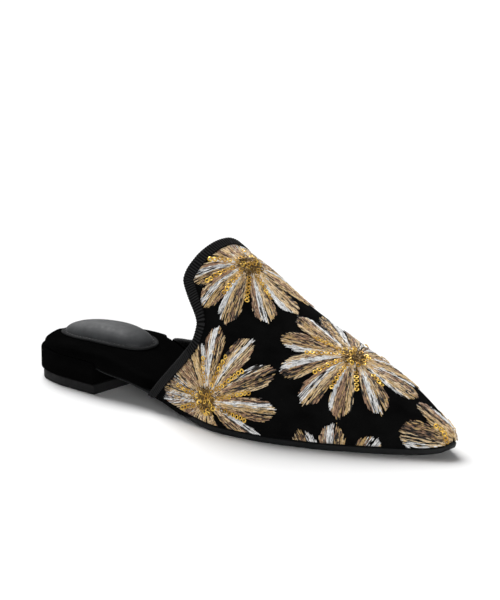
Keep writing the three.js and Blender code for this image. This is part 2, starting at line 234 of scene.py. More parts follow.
def climb_up(around):
    """How far up from the sole a place is, on either side: 0 at the sole and 1 on the ridge."""
    return np.where(around < 1, around, 2 - around)


def vamp_point(x, around):
    """A point of the vamp's outside. Below the sole's edge the wall goes straight on down."""
    x, around = np.broadcast_arrays(np.asarray(x, float), np.asarray(around, float))
    side = np.where(around < 1, -1.0, 1.0)
    climb = climb_up(around)
    foot, ridge, step = bed(x), ridge_height(x), ridge_step(x)
    edge = middle(x) + side * half(x)
    belly = edge + side * BULGE * np.clip((LENGTH - x) / BULGE_FADE, 0, 1)
    shoulder = step + (edge - step) * crown(x)
    wall_top = foot + upright(x) * (ridge - foot)
    on = np.maximum(climb, 0)
    under = np.minimum(climb, 0)
    y = bezier(on, edge, belly, shoulder, step) + 3 * under * (belly - edge)
    z = bezier(on, foot, wall_top, ridge, ridge) + 3 * under * (wall_top - foot)
    return np.stack([x, y, z], -1)


def vamp_frame(x, around):
    """Directions on the vamp: forward, round the arch, and out."""
    ahead = np.minimum(x + SLOPE_X, LENGTH)
    behind = x - SLOPE_X
    over, under = around + SLOPE_AROUND, around - SLOPE_AROUND
    forward = (vamp_point(ahead, around) - vamp_point(behind, around)) / (ahead - behind)[..., None]
    turn = (vamp_point(x, over) - vamp_point(x, under)) / (over - under)[..., None]
    return forward, turn, unit(np.cross(forward, turn))


def off_vamp(x, around, out):
    return vamp_point(x, around) + vamp_frame(x, around)[2] * np.asarray(out, float)[..., None]


def moved(x, around, vector):
    """The place on the vamp a short vector away, from the slopes there."""
    forward, turn, _ = vamp_frame(x, around)
    ff, ft, tt = dot(forward, forward), dot(forward, turn), dot(turn, turn)
    to_x, to_around = dot(vector, forward), dot(vector, turn)
    area = ff * tt - ft * ft
    return x + (tt * to_x - ft * to_around) / area, around + (ff * to_around - ft * to_x) / area


def walk(x, around, heading, length, steps):
    """Straight walks on the vamp from places, with unit headings: x and around, by walk and step."""
    stride = (length / steps)[..., None]
    path = [(x, around)]
    for _ in range(steps):
        half_x, half_around = moved(x, around, heading * stride / 2)
        heading = laid_flat(heading, vamp_frame(half_x, half_around)[2])
        x, around = moved(x, around, heading * stride)
        heading = laid_flat(heading, vamp_frame(x, around)[2])
        path.append((x, around))
    return np.moveaxis(np.array(path), 0, -1)


def topline_slant(around):
    """How fast the top edge runs forward, round the arch."""
    over, under = around + SLOPE_AROUND, around - SLOPE_AROUND
    return (topline(over) - topline(under)) / (over - under)


def from_topline(x, around):
    """Distance in millimetres from the vamp's top edge into the vamp."""
    forward, turn, _ = vamp_frame(x, around)
    slant = topline_slant(around)
    ff, ft, tt = dot(forward, forward), dot(forward, turn), dot(turn, turn)
    steepness = np.sqrt((tt + 2 * ft * slant + ff * slant ** 2) / (ff * tt - ft * ft))
    return (x - topline(around)) / steepness


def above_sole(x, around):
    """Height in millimetres of a place on the vamp above the sole's edge."""
    return vamp_point(x, around)[..., 2] - bed(x)


def lasted_over(x):
    """How far the velvet comes down over the sole's edge behind the ball."""
    return (thick(x) + GAP - LASTED_SHORT) * (1 - smoothstep(x, *WAIST_END))


# Pieces from points and faces

heel_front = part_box("heel_block")[1].x / MM
pad_middle = (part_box("heel_pad")[0].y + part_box("heel_pad")[1].y) / 2 / MM
SHIFT = np.array([heel_front - HEEL_BREAST, pad_middle - PAD_SIDE, 0.0])


def place_object(name, data):
    thing = bpy.data.objects.new(name, data)
    bpy.context.scene.collection.objects.link(thing)
    return thing


def make_piece(name, points, faces, materials, material_index=None, sharp=None):
    """A mesh object from points in shoe millimetres and faces of one size each."""
    mesh = bpy.data.meshes.new(name)
    corners = [np.asarray(group, int) for group in faces]
    flat = np.concatenate([group.ravel() for group in corners])
    sizes = np.concatenate([np.full(len(group), group.shape[1]) for group in corners])
    mesh.vertices.add(len(points))
    mesh.vertices.foreach_set("co", ((points + SHIFT) * MM).astype(np.float32).ravel())
    mesh.loops.add(len(flat))
    mesh.loops.foreach_set("vertex_index", flat.astype(np.int32))
    mesh.polygons.add(len(sizes))
    starts = np.concatenate([[0], np.cumsum(sizes)[:-1]])
    mesh.polygons.foreach_set("loop_start", starts.astype(np.int32))
    if material_index is not None:
        mesh.polygons.foreach_set("material_index", np.asarray(material_index, np.int32))
    for material in materials:
        mesh.materials.append(material)
    mesh.update(calc_edges=True)
    mesh.validate()
    mesh.shade_smooth()
    if sharp:
        mesh.set_sharp_from_angle(angle=math.radians(sharp))
    return place_object(name, mesh)


def grid_faces(count_rows, count_columns, wrap=False):
    """Quads between the points of a grid, row after row."""
    i, j = np.meshgrid(np.arange(count_rows - 1), np.arange(count_columns - (not wrap)), indexing="ij")
    k = (j + 1) % count_columns
    a, b = i * count_columns + j, i * count_columns + k
    return np.stack([a, b, b + count_columns, a + count_columns], -1).reshape(-1, 4)


def make_loft(name, rings, materials, material_index=None, sharp=None):
    """A closed piece through rings of points: side quads and two end caps."""
    points = np.array(rings)
    count, size = points.shape[:2]
    start = np.arange(size)[::-1][None]
    end = (np.arange(size) + (count - 1) * size)[None]
    faces = [grid_faces(count, size, wrap=True), start, end]
    return make_piece(name, points.reshape(-1, 3), faces, materials, material_index, sharp)


def make_stitches(spine, out, wide, tall):
    """Thread prisms along short lines: their points, their faces, and how many quads each has."""
    count, rings = spine.shape[:2]
    course = unit(np.gradient(spine, axis=1))
    side = unit(np.cross(course, out))
    taper = np.ones((1, rings, 1))
    taper[:, [0, -1]] = 0.5
    reach = side * taper * wide / 2
    points = np.stack([spine - reach, spine + out * taper * tall, spine + reach], 2)
    one = grid_faces(rings, 3, wrap=True)
    last = 3 * (rings - 1)
    first = (np.arange(count) * 3 * rings)[:, None, None]
    quads = (one + first).reshape(-1, 4)
    caps = (np.array([(2, 1, 0), (last, last + 1, last + 2)]) + first).reshape(-1, 3)
    return points.reshape(-1, 3), [quads, caps], len(one)


def dress(piece, slot, *nodes):
    """Every piece rides on the one body and may stand for solids, which are hidden; the slot is not used."""
    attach(piece, "root")
    if nodes:
        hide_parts(*nodes)
    return piece


# Materials

def set_inputs(node, **values):
    for socket, value in values.items():
        node.inputs[socket.replace("_", " ")].default_value = value
    return node


def grey(value):
    return value, value, value


RAMP_ENDS = (0.3, 0.7)


def make_material(name, dark, light, roughness, tone=None, skin=None, relief=(), color=None, **sockets):
    """A principled material whose tone and roughness vary by patterns, with relief from others.

    A pattern is a scale and a detail, and may be stretched along the axes. Cells have no detail.
    """
    color = (*(color or light), 1)
    material = bpy.data.materials.new(name)
    material.use_nodes = True
    material.diffuse_color = color
    nodes, links = material.node_tree.nodes, material.node_tree.links
    shader = set_inputs(nodes["Principled BSDF"], Base_Color=color, Roughness=roughness, **sockets)

    def pattern(scale, detail, stretch=(1, 1, 1)):
        place = nodes.new("ShaderNodeTexCoord")
        mapping = set_inputs(nodes.new("ShaderNodeMapping"), Scale=stretch)
        links.new(place.outputs["Object"], mapping.inputs["Vector"])
        texture = nodes.new("ShaderNodeTexNoise" if detail else "ShaderNodeTexVoronoi")
        set_inputs(texture, Scale=scale, **({"Detail": detail} if detail else {}))
        links.new(mapping.outputs["Vector"], texture.inputs["Vector"])
        return texture.outputs["Fac" if detail else "Distance"]

    def vary(socket, factor, low, high):
        ramp = nodes.new("ShaderNodeValToRGB")
        for element, position, value in zip(ramp.color_ramp.elements, RAMP_ENDS, (low, high)):
            element.position = position
            element.color = (*value, 1)
        links.new(factor, ramp.inputs["Fac"])
        links.new(ramp.outputs["Color"], shader.inputs[socket])

    if tone:
        vary("Base Color", pattern(*tone), dark, light)
    if skin:
        *shape, less, more = skin
        vary("Roughness", pattern(*shape), grey(roughness - less), grey(roughness + more))
    normal = shader.inputs["Normal"]
    for *shape, distance, strength in reversed(relief):
        bump = set_inputs(nodes.new("ShaderNodeBump"), Distance=distance, Strength=strength)
        links.new(pattern(*shape), bump.inputs["Height"])
        links.new(bump.outputs["Normal"], normal)
        normal = bump.inputs["Normal"]
    return material


# Short pile: fine nap and soft brushed patches
BRUSHED = (0.35, 1, 1)
PILE = dict(
    roughness=0.95, tone=(120, 4, BRUSHED), relief=[(2600, 3, 0.0003, 0.8), (260, 3, BRUSHED, 0.0004, 0.3)],
    Specular_IOR_Level=0.0, Sheen_Roughness=0.45)
# Matte ribbon with fine fibres
FIBRES = dict(roughness=0.75, tone=(3200, 3), relief=[(3200, 3, 0.0001, 0.6)], Specular_IOR_Level=0.06)
# Moulded rubber: even, with a fine matte skin
RUBBER = dict(
    tone=(90, 4), skin=(320, 3, 0.08, 0.1), relief=[(2400, 2, 0.0001, 0.35)], Specular_IOR_Level=0.16)
# Smooth satin leather with a close grain
GRAIN = dict(
    tone=(140, 4), skin=(420, 3, 0.06, 0.06), relief=[(1500, 0, 0.00008, 0.35), (700, 3, 0.0001, 0.2)])
# Polished foil with tiny dents and a little tarnish
FOIL = dict(tone=(500, 2), skin=(900, 2, 0.08, 0.1), relief=[(1300, 1, 0.0001, 0.3)], Metallic=0.5)
# Twisted thread with a soft lustre
TWIST = dict(
    roughness=0.42, tone=(900, 2), relief=[(5200, 2, 0.0001, 0.5)], Specular_IOR_Level=0.4,
    Sheen_Weight=0.08)


def thread_material(name, color):
    """Thread with small changes of tone about its colour."""
    deep = tuple(0.72 * c for c in color)
    pale = tuple(min(1.0, 1.18 * c) for c in color)
    return make_material(name, deep, pale, color=color, **TWIST)


VELVET = make_material("black_velvet", grey(0.0026), grey(0.0050), Sheen_Weight=0.006, **PILE)
HEEL_VELVET = make_material("heel_velvet", grey(0.0009), grey(0.0019), Sheen_Weight=0.005, **PILE)
LINING = make_material("lining_cloth", grey(0.0012), grey(0.0024), Sheen_Weight=0.004, **PILE)
GROSGRAIN = make_material("grosgrain", (0.0125, 0.0125, 0.0128), (0.0195, 0.0195, 0.02), **FIBRES)
# The ribbon painted much darker in its grooves, as shade between the ribs
RIB_GROOVE_SHADE = make_material("grosgrain_groove_shade", grey(0.0005), grey(0.0010), **FIBRES)
SOLE_RUBBER = make_material("sole_rubber", (0.0055, 0.0061, 0.0064), (0.0084, 0.0092, 0.0096), 0.6, **RUBBER)
TIP_RUBBER = make_material("heel_rubber", (0.0055, 0.0055, 0.0058), (0.0085, 0.0085, 0.0088), 0.65, **RUBBER)
LEATHER = make_material(
    "pad_leather", (0.033, 0.0345, 0.0365), (0.047, 0.049, 0.0515), 0.66, Specular_IOR_Level=0.28, **GRAIN)
RIM_LEATHER = make_material(
    "rim_leather", (0.013, 0.0133, 0.0138), (0.020, 0.0204, 0.021), 0.8, Specular_IOR_Level=0.06, **GRAIN)
SEAM_THREAD = thread_material("seam_thread", (0.005, 0.005, 0.0055))
# Bright gold foil and two darker copies of it, amber and deep, whose darkness is painted shade on rings that
# catch less light
FOILS = [
    make_material("gold_foil", (0.85, 0.50, 0.07), (1.0, 0.68, 0.15), 0.28, **FOIL),
    make_material("half_shade_foil", (0.42, 0.22, 0.03), (0.62, 0.36, 0.06), 0.32, **FOIL),
    make_material("deep_shade_foil", (0.12, 0.065, 0.012), (0.24, 0.135, 0.025), 0.36, **FOIL),
]
THREAD_COLORS = {
    "white": (0.95, 0.94, 0.92), "silver": grey(0.58), "cream": (0.82, 0.63, 0.38),
    "gold": (0.62, 0.42, 0.18), "rose": (0.42, 0.25, 0.15), "brown": (0.17, 0.10, 0.055),
    "umber": (0.010, 0.007, 0.005), "amber": (0.17, 0.085, 0.014),
}
THREADS = {name: thread_material(f"thread_{name}", color) for name, color in THREAD_COLORS.items()}


# Sole pieces

def rounded_profile(low, high, radius, steps=4):
    """Heights from low to high of an edge rounded at both ends, with how far each is drawn in."""
    turn = np.linspace(0, math.pi / 2, steps + 1)
    drawn = radius * (1 - np.sin(turn))
    lower = low + radius * (1 - np.cos(turn))
    upper = high - radius * (1 - np.cos(turn[::-1]))
    return np.concatenate([lower, upper]), np.concatenate([drawn, drawn[::-1]])


def make_outsole():
    """Thin sheet from the heel's breast to the toe, its long edges rounded."""
    xs = stations(WAIST_START, LENGTH + OUTSOLE_PROUD / 2, 150)
    plan_x = xs * (LENGTH / (LENGTH + OUTSOLE_PROUD))
    top = bed(xs) - GAP
    under = top - thick(xs)
    rings = []
    for x, px, low, high in zip(xs, plan_x, under, top):
        reach = half(px) + OUTSOLE_PROUD - WAIST_DRAWN_IN * (1 - smoothstep(x, *WAIST_END))
        radius = min(OUTSOLE_ROUND, reach * OUTSOLE_ROUND_SHARE)
        heights, drawn = rounded_profile(low, high, radius)
        right, left = (middle(px) + sign * (reach - drawn) for sign in (-1, 1))
        y, z = np.concatenate([right, left[::-1]]), np.concatenate([heights, heights[::-1]])
        rings.append(np.column_stack([np.full(len(y), x), y, z]))
    piece = make_loft("outsole_sheet", rings, [SOLE_RUBBER], sharp=50)
    return dress(piece, "sole_rubber", "outsole")


def heel_outline(proud, radius, inset, count=48):
    """The sole's plan behind the breast, grown by proud, then drawn in all round by inset."""
    xs = stations(0, 2 * HEEL_BREAST, 2 * count)[:count + 1]
    wide = half(xs) * (1 + (proud - inset) / half(HEEL_BREAST))
    front = HEEL_BREAST - inset
    back = proud + radius - inset
    along = front - (HEEL_BREAST - xs) * (front + back) / HEEL_BREAST
    left = np.stack([along, middle(xs) + wide], -1)
    right = np.stack([along, middle(xs) - wide], -1)[:0:-1]
    return np.concatenate([left, right])


def make_heel_layer(name, proud, low, high, radius, material, slot, node):
    heights, drawn = rounded_profile(low, high, radius)
    rings = []
    for z, inset in zip(heights, drawn):
        outline = heel_outline(proud, radius, inset)
        rings.append(np.column_stack([outline, np.full(len(outline), z)]))
    return dress(make_loft(name, rings, [material], sharp=50), slot, node)


# Footbed and pad

def footbed_side(x, side):
    covered = smoothstep(x, WING_START[side] - WING_STEP, WING_START[side])
    return middle(x) + side * (half(x) - edge_inset(x) * covered)


def footbed_top(x, y):
    across = np.clip((y - middle(x)) / np.maximum(half(x), 1), -1, 1)
    return edge_top(x) + FOOTBED_CROWN * (1 - across ** 2)


def make_footbed():
    """Cloth-wrapped footbed with a soft round upper edge."""
    xs = np.concatenate([stations(GAP, HEEL_BREAST, 60), stations(WAIST_START, FOOTBED_END, 150)])
    turn = np.linspace(0, math.pi / 2, 6)
    across = np.linspace(-0.96, 0.96, 17)
    rings = []
    for x in xs:
        right, left = footbed_side(x, -1), footbed_side(x, 1)
        radius = min(FOOTBED_ROUND, (left - right) / 5)
        shoulder = edge_top(x) - radius
        rise = shoulder + radius * np.sin(turn)
        bend = radius * (1 - np.cos(turn))
        inner = (left + right) / 2 + across * (left - right - 2 * radius) / 2
        low = bed(x)
        chamfer = FOOTBED_CHAMFER
        ring = [(left - chamfer, low), (right + chamfer, low), (right, low + chamfer)]
        ring += list(zip(right + bend, rise))
        ring += list(zip(inner, footbed_top(x, inner)))
        ring += list(zip((left - bend)[::-1], rise[::-1]))
        ring += [(left, low + chamfer)]
        rings.append([(x, y, z) for y, z in ring])
    return dress(make_loft("footbed", rings, [HEEL_VELVET], sharp=50), "velvet", "insole")


def squared(share):
    """A circle's coordinate turned into a squarish oval's."""
    return np.sign(share) * np.abs(share) ** (2 / PAD_SQUARENESS)


def pad_ring(turn, inset, share, height):
    """Points round the pad, drawn in from its edge, then at a share of what is left."""
    along = share * squared(np.cos(turn))
    across = share * squared(np.sin(turn)) * (1 + PAD_WIDENING * along)
    x = PAD_CENTRE + along * (PAD_LONG / 2 - inset)
    y = PAD_SIDE + across * (PAD_WIDE / 2 - inset)
    return np.stack([x, y, footbed_top(x, y) + GAP + height], -1)


def make_pad():
    """Domed leather pad: a flat rim, a sewn groove, and a crowned middle."""
    turn = np.linspace(0, 2 * math.pi, 192, endpoint=False)
    # How far in from the edge, share of the rest, and height
    profile = [
        (0, 0.02, 0), (0, 0.3, 0), (0, 0.6, 0), (0, 0.85, 0), (0.15, 1, 0), (0, 1, 0.2),
        (0, 1, PAD_EDGE - 0.3), (0.3, 1, PAD_EDGE), (PAD_RIM - 1, 1, PAD_EDGE + 0.1),
        (PAD_RIM - 0.65, 1, PAD_EDGE - 0.25), (PAD_RIM, 1, PAD_EDGE - 0.45),
    ]
    rim_rows = len(profile) - 1
    shares = np.sin(np.linspace(math.pi / 2, 0, 26))[1:-1]
    rise = PAD_DOME * (1 - shares ** PAD_FLATNESS) ** PAD_FULLNESS
    profile += [(PAD_RIM, share, PAD_EDGE + height) for share, height in zip(shares, rise)]
    profile.append((PAD_RIM, 0.02, PAD_EDGE + PAD_DOME))
    rings = [pad_ring(turn, *row) for row in profile]
    index = np.repeat(np.arange(len(profile) - 1) < rim_rows, len(turn))
    piece = make_loft("pad", rings, [LEATHER, RIM_LEATHER], np.concatenate([index, [1, 0]]))
    return dress(piece, "pad_leather", "heel_pad")


def make_pad_seam():
    """Short dark stitches along the groove inside the pad's rim."""
    dense = np.linspace(0, 2 * math.pi, 2000)
    inset, height = PAD_RIM - SEAM_DEEP, PAD_EDGE - SEAM_DEEP
    run = run_along(pad_ring(dense, inset, 1, height))
    count = int(run[-1] / SEAM_PITCH)
    starts = np.arange(count) * run[-1] / count
    spots = starts[:, None] + SEAM_LONG * np.array([0, 0.3, 0.7, 1])
    turn = np.interp(spots % run[-1], run, dense)
    spine = pad_ring(turn, inset, 1, height + np.array([0, 0.2, 0.2, 0]))
    out = np.broadcast_to(np.array([0.0, 0.0, 1.0]), spine.shape)
    points, faces, _ = make_stitches(spine, out, SEAM_WIDE, SEAM_TALL)
    return dress(make_piece("pad_seam", points, faces, [SEAM_THREAD]), "thread")


# Vamp and ribbon

ARCH_STEPS = 56
ARCH_CROWDING = 1.5
VAMP_STEPS = 110
VAMP_END = LENGTH - 0.06
TOE_SHUT = 0.03


def make_vamp():
    """Velvet outside and cloth lining inside, joined along the top edge and the sole's edge."""
    climb = np.linspace(0, 1, ARCH_STEPS + 1) ** ARCH_CROWDING
    places = np.concatenate([climb, 2 - climb[-2::-1]])
    share = stations(0, 1, VAMP_STEPS)[:, None]
    x = topline(places) + (VAMP_END - topline(places)) * share
    around = np.broadcast_to(places, x.shape)
    layers = []
    for depth in (0.0, -WALL):
        layer = off_vamp(x, around, np.full(x.shape, depth))
        layer[:, [0, -1], 2] = (bed(x) - lasted_over(x))[:, [0, -1]]
        # The last ring is drawn together over the sole, so that the toe's point is shut
        point = (layer[-1, 0] + layer[-1, -1]) / 2
        layer = np.concatenate([layer, [point + TOE_SHUT * (layer[-1] - point)]])
        layers.append(layer)
    grid = np.arange(layers[0][..., 0].size).reshape(layers[0].shape[:2])
    rim = np.concatenate([grid[0, :-1], grid[:-1, -1], grid[-1, :0:-1], grid[:0:-1, 0]])
    ahead = np.roll(rim, -1)
    edge = np.stack([rim, ahead, ahead + grid.size, rim + grid.size], -1)
    inside = grid_faces(*grid.shape)
    faces = [inside[:, ::-1], inside + grid.size, edge]
    index = np.repeat([0, 1, 0], [len(group) for group in faces])
    points = np.concatenate([layer.reshape(-1, 3) for layer in layers])
    piece = make_piece("vamp", points, faces, [VELVET, LINING], index, sharp=60)
    return dress(piece, "velvet", "upper")


def ribbon_point(around, inward, out):
    """A point at a distance from the top edge into the vamp and off the vamp's outside."""
    x = topline(around)
    slant = topline_slant(around)[..., None]
    forward, turn, normal = vamp_frame(x, around)
    along = unit(forward * slant + turn)
    across = unit(np.cross(along, normal))
    step_x, step_around = moved(x, around, across)
    step_x, step_around = step_x - x, step_around - around
    sign = np.sign(step_x - slant[..., 0] * step_around)
    return off_vamp(x + sign * step_x * inward, around + sign * step_around * inward, out)


def rib_wave(along):
    """The ribs' height along the ribbon, from 0 to 1."""
    return 0.5 - 0.5 * np.cos(2 * math.pi * along / RIB_PITCH)


def make_ribbon():
    """Ribbed ribbon folded over the top edge, cut where it meets the sole and the footbed."""
    near, far = GAP, GAP + RIBBON_THICK
    fold = RIBBON_FOLD + RIBBON_THICK
    # Shares of the outside and inside widths, millimetres inward and off the vamp, and whether ribs show
    section = np.array([
        (1, 0, 0, near, 0), (1, 0, 0.1, (near + far) / 2, 0), (1, 0, 0, far, 1), (0.75, 0, 0, far, 1),
        (0.5, 0, 0, far, 1), (0.25, 0, 0, far, 1), (0, 0, 0, far, 1), (0, 0, -0.7 * fold, 0.35, 1),
        (0, 0, -fold, -WALL / 2, 1), (0, 0, -0.7 * fold, -WALL - 0.35, 1), (0, 0, 0, -WALL - far, 1),
        (0, 0.33, 0, -WALL - far, 1), (0, 0.67, 0, -WALL - far, 1), (0, 1, 0, -WALL - far, 1),
        (0, 1, 0, -WALL - near, 0), (0, 0.5, 0, -WALL - near, 0), (0, 0, -RIBBON_FOLD, -WALL - near, 0),
        (0, 0, -RIBBON_FOLD, near, 0), (0.5, 0, 0, near, 0),
    ])
    dense = np.linspace(-RIBBON_TAIL, 2 + RIBBON_TAIL, 4000)
    run = run_along(vamp_point(topline(dense), dense))
    along = np.linspace(0, run[-1], int(run[-1] / (RIB_PITCH / RIB_STEPS)))
    places = np.interp(along, run, dense)
    lines = []
    for outside, inside, plus, out, ribbed in section:
        inward = outside * ribbon_wide(dense) + inside * RIBBON_INSIDE + plus
        x, y, z = ribbon_point(dense, inward, np.full(dense.shape, out)).T
        floor = bed(x) - lasted_over(x) + RIBBON_CLEAR
        if out < -WALL / 2:
            within = (y > footbed_side(x, -1) - GAP) & (y < footbed_side(x, 1) + GAP)
            floor = np.where(within, footbed_top(x, y) + GAP, floor)
        clear = np.flatnonzero(z > floor)
        start = dense[clear[clear < len(dense) // 2][0]]
        stop = dense[clear[clear > len(dense) // 2][-1]]
        here = np.clip(places, start, stop)
        wave = rib_wave(np.interp(here, dense, run))
        outward = RIB_DEPTH * ribbed * wave * (1 if out > -WALL / 2 else -1)
        lines.append(ribbon_point(here, np.interp(here, dense, inward), out + outward))
    wave = rib_wave(along)
    # Faces low in the wave take the groove material: painted shade between the ribs
    groove = (wave[1:] + wave[:-1]) / 2 < RIB_SHADE_BELOW
    index = np.concatenate([np.repeat(groove, len(section)), [0, 0]])
    piece = make_loft("ribbon", np.stack(lines, 1), [GROSGRAIN, RIB_GROOVE_SHADE], index, sharp=65)
    return dress(piece, "ribbon", "binding")


make_outsole()
make_heel_layer("heel_tip_layer", HEEL_TIP_PROUD, 0, HEEL_TIP_THICK, HEEL_TIP_ROUND, TIP_RUBBER,
                "sole_rubber", "heel_tip")
make_heel_layer("heel_cover", HEEL_BLOCK_PROUD, HEEL_TIP_THICK + GAP, bed(0) - GAP, HEEL_BLOCK_ROUND,
                HEEL_VELVET, "velvet", "heel_block")
make_footbed()
make_pad()
make_pad_seam()
make_vamp()
make_ribbon()


# Embroidered flowers
# Petals by angle in degrees from forward towards the ridge, reach in millimetres, and the bands of
# thread across the petal in the same turn: White, Tan, rosy Pink and Brown
COLLAR_PETALS = [
    (3, 36.9, "WTTB"), (32, 40, "TPT"), (61, 38, "WTPB"), (91, 38, "PWTB"), (121, 30, "WPBT"),
    (151, 21, "PWTP"), (180, 21, "WTPT"), (209, 23, "TPTW"), (243, 31.5, "PWTB"),
    (270, 34.7, "PWTB"), (298, 37.8, "WTBT"), (334, 37.4, "PWTB"),
]
MIDDLE_PETALS = [
    (2.4, 39.2, "WTPB"), (28, 36.7, "WTB"), (59, 38, "TWPB"), (90, 38, "TBWP"), (121, 38, "WTPB"),
    (152, 36, "WTB"), (180, 37.4, "WPBT"), (207, 38.3, "PBTW"), (234.5, 39.1, "PWBT"),
    (263, 38.6, "PWTB"), (294, 36.9, "WPBT"), (330, 37.3, "PWTB"),
]
SIDE_PETALS = [
    (11.1, 42.8, "BTWP"), (38.9, 45.7, "TBPW"), (65.6, 43.3, "PTWB"), (93.7, 39.2, "TBWP"),
    (117, 30, "WTT"), (142, 27, "TPB"), (167, 30, "PTW"), (188, 36, "BTB"), (203, 37, "WP"),
    (228, 36, "BPT"), (262, 36, "TPT"), (298, 36, "TPB"), (341, 43, "BTPW"),
]
# Petals whose flower has its middle off the vamp, so they run back from their tips: the tip's x and
# around, the angle there towards the middle, reach and bands
LOW_TIPS = [
    (235.5, 0.13, -121, 36, "TWB"), (214.5, 0.191, -90, 36, "TBWP"), (196, 0.081, -58.4, 36, "WBT"),
]
TOE_RIDGE_TIPS = [(243.4, 0.90, -1.4, 34.6, "WPTT")]
TOE_TIPS = [(242.2, 0.240, -1.7, 34.6, "BBTW")]
# Rays of sequins by angle, where they start and how far out they go
COLLAR_RAYS = [
    (76, 19, 26), (106, 19, 26), (149, 9.5, 11.8), (223, 8.4, 25), (254, 8.4, 24), (284, 8.4, 23),
    (315, 8.4, 24), (346, 8.4, 23),
]
MIDDLE_RAYS = [
    (75, 19, 26), (105, 19, 26), (194, 8.4, 23), (221, 8.4, 24), (250, 8.4, 23), (279, 8.4, 23),
    (311, 8.4, 22), (344, 14, 23),
]
SIDE_RAYS = [
    (27.2, 8.4, 28.6), (50.8, 8.4, 29.1), (74.6, 8.4, 26.7), (107.6, 8.4, 21.6), (181, 8.4, 22.5),
    (212, 8.4, 20), (356.5, 8.4, 26.2),
]
# Single sequins near the toe, by x and around
TOE_RINGS = [(257.7, 0.613), (260.1, 0.586), (261.7, 0.495), (262.6, 0.33), (263.2, 0.17)]


def mirrored(tips):
    """The same tips on the big-toe side."""
    return [(x, 2 - around, -angle, *rest) for x, around, angle, *rest in tips]


FLOWERS = [
    dict(x=142.4, around=0.941, petals=COLLAR_PETALS, rays=COLLAR_RAYS),
    dict(x=142.7, around=0.079, petals=SIDE_PETALS, rays=SIDE_RAYS),
    dict(x=207.8, around=0.939, petals=MIDDLE_PETALS, rays=MIDDLE_RAYS),
    dict(x=142.7, around=1.921, petals=SIDE_PETALS, rays=SIDE_RAYS),
    dict(tips=LOW_TIPS, shape="full"),
    dict(tips=mirrored(LOW_TIPS), shape="full"),
    dict(tips=TOE_TIPS, shape="broad", rings=TOE_RINGS),
    dict(tips=mirrored(TOE_TIPS), shape="broad", rings=[(x, 2 - around) for x, around in TOE_RINGS]),
    dict(tips=TOE_RIDGE_TIPS, shape="leaf"),
]
# Threads in each band with their shares, how often the thread changes along a lane, and stitch length
PALETTES = {
    "W": (("white", "silver", "cream", "umber"), (0.62, 0.18, 0.04, 0.16), 0.35, 5.4),
    "T": (("cream", "gold", "brown", "umber"), (0.36, 0.28, 0.16, 0.20), 0.4, 5.0),
    "P": (("rose", "cream", "brown", "umber"), (0.44, 0.18, 0.16, 0.22), 0.5, 4.4),
    "B": (("brown", "umber", "rose", "gold"), (0.24, 0.34, 0.16, 0.26), 0.75, 3.4),
}
BASE_THREADS = (("white", "cream", "gold", "umber"), (0.12, 0.4, 0.36, 0.12))
DISC_THREADS = (("amber", "umber", "brown", "gold"), (0.36, 0.48, 0.10, 0.06))
# Outlines of petals: the share of the full width along the petal, and the width in millimetres.
# The threads fan out along FAN and stop at the outline
OVAL_BASE = [(0, 0.25), (0.28, 0.62), (0.5, 0.87)]
ROUND_TIP = [(0.7, 1), (0.84, 0.87), (0.94, 0.52), (1, 0.06)]
SHAPES = {
    "oval": (11.8, rows("x share", OVAL_BASE + ROUND_TIP)),
    "full": (13.0, rows("x share", [(0, 0.4), (0.3, 0.7), (0.55, 0.93)] + ROUND_TIP)),
    "broad": (14.6, rows("x share", [
        (0, 0.9), (0.3, 0.95), (0.65, 1), (0.82, 0.92), (0.93, 0.64), (1, 0.08)])),
    "leaf": (13.2, rows("x share", [
        (0, 0.9), (0.3, 0.92), (0.5, 0.82), (0.7, 0.64), (0.85, 0.46), (0.94, 0.28), (1, 0.05)])),
}
FAN = rows("x share", OVAL_BASE + [(0.7, 1), (1, 1.08)])
PETAL_START = 5.5
PETAL_BASE = PETAL_START - 1.5
LANE_STEP = 0.34
LANE_KEEP = 0.45
BAND_BLUR = 0.16
STITCH_WIDE = 0.56
STITCH_TALL = 0.3
STITCH_LIFT = (0.02, 0.2)
STITCH_BOW = 0.24
STITCH_PITCH = 0.78
STITCH_SPREAD = (0.75, 1.3)
STITCH_SHORTEST = 0.9
STITCH_RAGGED = (-0.3, 0.9)
STITCH_JITTER = 0.16
STITCH_STAGGER = 0.1
TEAR_STRETCH = 1.8
TEAR_SPARE = 0.3
TEAR_DROP = 0.2
BASE_SHARE = 0.5
BASE_FADE = 2.4
PALE_LIFT = 0.08
PARTING_PLACE = (-0.4, 0.4)
PARTING_WIDE = 0.9
PARTING_START = 0.5
AXIS_STEPS = 40
AXIS_SPARE = 1.04
SPOKE_SPARE = 2.0
DISC_RADIUS = 7.4
DISC_STITCHES = 300
DISC_STITCH_START = (0.2, DISC_RADIUS - 2.5)
DISC_STITCH_LONG = (2.2, 3.4)
DISC_STITCH_SLANT = 0.35
DISC_LIFT = 0.45
DISC_RINGS = 40
RING_RADIUS = 1.32
RING_PITCH = 2.4
RING_LIFT = 1.05
RING_LIFT_SPREAD = (-0.1, 0.15)
RAY_JITTER = 0.12
RAY_SWAY = 0.002
DISC_RING_LIFT = 0.3
DISC_HEAP = 0.5
RING_ROLL = 12
RING_SIZES = (0.94, 1.05)
RING_ROOM = 0.6 * RING_RADIUS
GOLDEN_ANGLE = 137.5
# How rings lean, in degrees: usual and spread
TOE_LEAN = (8, 5)
RAY_LEAN = (9, 7)
DISC_LEAN = (0, 20)
# Shares of bright rings and of amber and deep rings in painted shade, in rays and in discs, and how a ray's
# rings darken inward with more painted shade
RAY_FOILS = (0.5, 0.4, 0.1)
DISC_FOILS = (0.26, 0.32, 0.42)
RAY_CHANCE = 0.6
RAY_SHADE_INWARD = 0.45
SOLE_EDGE = 0.25
TOE_EDGE = 0.8
